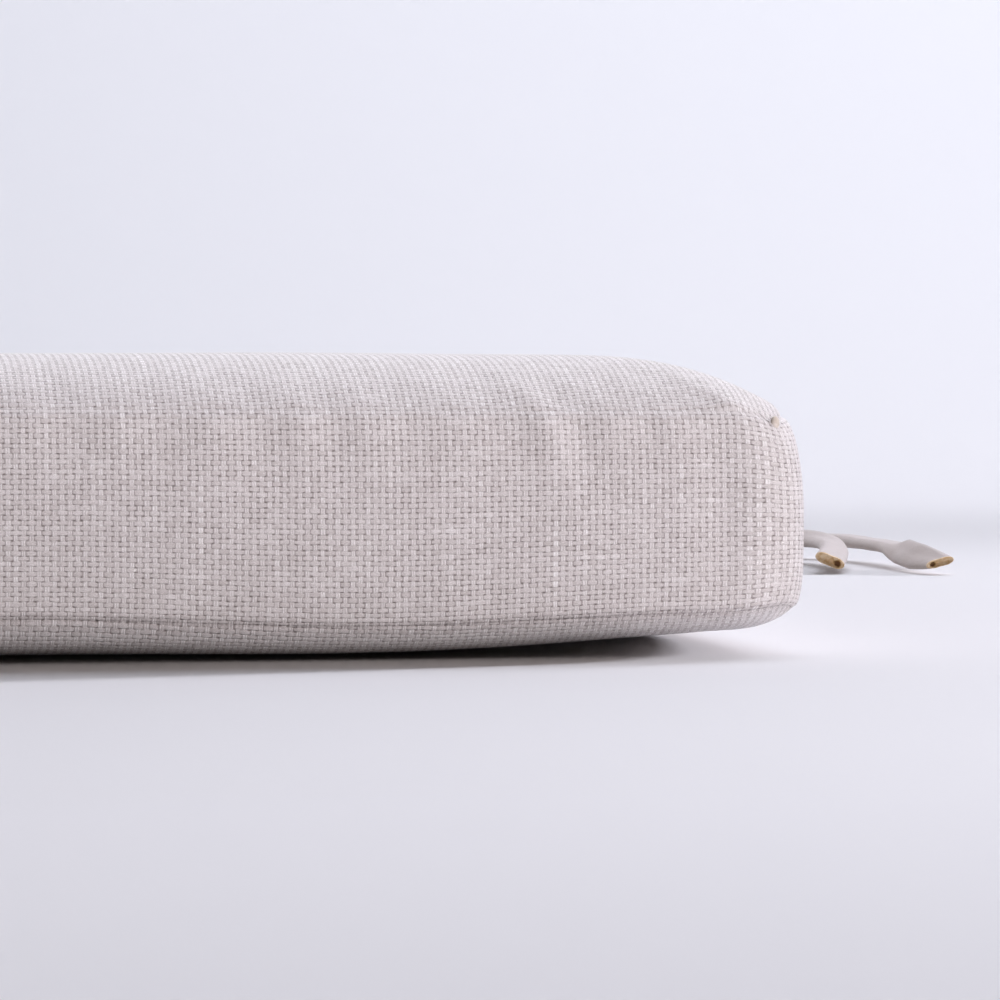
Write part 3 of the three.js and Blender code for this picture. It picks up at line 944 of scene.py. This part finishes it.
def see_through_from_outside(tree, shader):
    """The wall's outer side is clear, so that a camera beyond it still sees the cushion."""
    geometry = tree.nodes.new("ShaderNodeNewGeometry")
    clear = tree.nodes.new("ShaderNodeBsdfTransparent")
    mix = tree.nodes.new("ShaderNodeMixShader")
    tree.links.new(geometry.outputs["Backfacing"], mix.inputs[0])
    tree.links.new(shader.outputs[0], mix.inputs[1])
    tree.links.new(clear.outputs[0], mix.inputs[2])
    tree.links.new(mix.outputs[0], tree.nodes["Material Output"].inputs["Surface"])


def studio_material():
    material, tree, shader = new_material("studio_paint", 0.85, 0.0)
    shader.inputs["Base Color"].default_value = STUDIO_PAINT
    shader.inputs["Specular IOR Level"].default_value = 0.1
    see_through_from_outside(tree, shader)
    return material


def make_studio():
    """A pale floor that curves up into the backdrop all round."""
    profile = [(r, 0.0) for r in (0.7, 1.4)]
    for a in np.linspace(0.0, math.pi / 2, 16):
        profile.append((FLOOR_FLAT + COVE_RUN * math.sin(a), COVE_RISE * (1 - math.cos(a))))
    profile.append((FLOOR_FLAT + COVE_RUN, BACKDROP_TOP))
    cx, cy = FLOOR_CENTRE
    angles = np.linspace(0, 2 * np.pi, STUDIO_SIDES, endpoint=False)
    vertices = [(cx, cy, 0)]
    for r, h in profile:
        vertices += [(cx + r * math.cos(a), cy + r * math.sin(a), h) for a in angles]
    faces = [(0, 1 + i, 1 + (i + 1) % STUDIO_SIDES) for i in range(STUDIO_SIDES)]
    for k in range(len(profile) - 1):
        a, b = 1 + k * STUDIO_SIDES, 1 + (k + 1) * STUDIO_SIDES
        for i in range(STUDIO_SIDES):
            j = (i + 1) % STUDIO_SIDES
            faces.append((a + i, b + i, b + j, a + j))
    floor = new_object("studio_floor", vertices, faces)
    floor.data.materials.append(studio_material())
    return floor


def area_light(name, place, aim, size, power, colour, only=None, spread=180):
    """A rectangular light that lights all pieces, or only some."""
    data = bpy.data.lights.new(name, "AREA")
    data.shape, data.size, data.size_y = "RECTANGLE", size[0], size[1]
    data.energy, data.color = power, colour
    data.spread = math.radians(spread)
    light = bpy.data.objects.new(name, data)
    light.location = place
    light.rotation_euler = (Vector(aim) - Vector(place)).to_track_quat("-Z", "Y").to_euler()
    bpy.context.collection.objects.link(light)
    if only:
        group = bpy.data.collections.new(name + "_lit")
        for piece in only:
            group.objects.link(piece)
        light.light_linking.receiver_collection = group


floor = make_studio()
cloth, ground, ground_and_tails = [cover, *tucks], [floor], [floor, *tails]
BLUE, NEUTRAL = (0.84, 0.863, 1.0), (1.0, 0.98, 1.0)
# Name, place, aim, size, power in watts, colour, the pieces it lights, spread in degrees
area_light("backdrop", (1.25, 0.9, 2.3), (0.7, 2.6, 0.9), (2.4, 1.0), 68, (0.79, 0.84, 1.0))
area_light("side", (3.0, 0.475, 0.75), (0, -0.6, 0), (0.18, 0.4), 8.6, BLUE, ground_and_tails, 42)
area_light("behind", (1.9, 0.75, 1.5), (0, -0.6, 0), (0.5, 0.5), 1.3, BLUE, ground_and_tails, 50)
area_light("near", (2.0, 0.2, 1.1), (0.1, -0.85, 0), (0.5, 0.5), 0.9, BLUE, ground, 32)
area_light("over_ties", (0.1, 0.55, 1.2), (0.37, 0.23, 0), (0.2, 0.2), 0.08, BLUE, ground_and_tails, 40)
area_light("tie_tops", (0, 0.5, 1.2), (0.36, 0.24, 0), (0.2, 0.2), 0.4, (0.88, 0.92, 1.0), tails, 40)
area_light("far", (1.0, 0.8, 1.8), (0.9, 0.8, 0), (1.2, 1.2), 0.55, (0.95, 0.9, 1.0), ground, 60)
area_light("low", (1.1, -2.0, 0.1), (0.1, -0.2, 0.02), (1.3, 0.12), 2.0, (1.0, 0.98, 0.98), cloth)
area_light("face", (1.35, -2.0, 0.8), (0.1, -0.2, 0.03), (1.3, 0.7), 41.5, NEUTRAL, cloth)
area_light("crown", (0.3, 1.3, 1.3), (0, -0.1, 0.07), (0.8, 0.6), 2.8, (0.92, 0.97, 1.0), cloth, 60)
area_light("rim", (0.9, 0, 1.7), (0, -0.2, 0.05), (0.8, 0.6), 1.4, (0.85, 0.9, 1.0), cloth, 60)

world = bpy.data.worlds.new("world")
world.use_nodes = True
background = world.node_tree.nodes["Background"]
background.inputs["Color"].default_value = (0.93, 0.95, 1.0, 1)
background.inputs["Strength"].default_value = 0.02
bpy.context.scene.world = world
bpy.context.scene.view_settings.view_transform = "Standard"
bpy.context.scene.view_settings.look = "None"
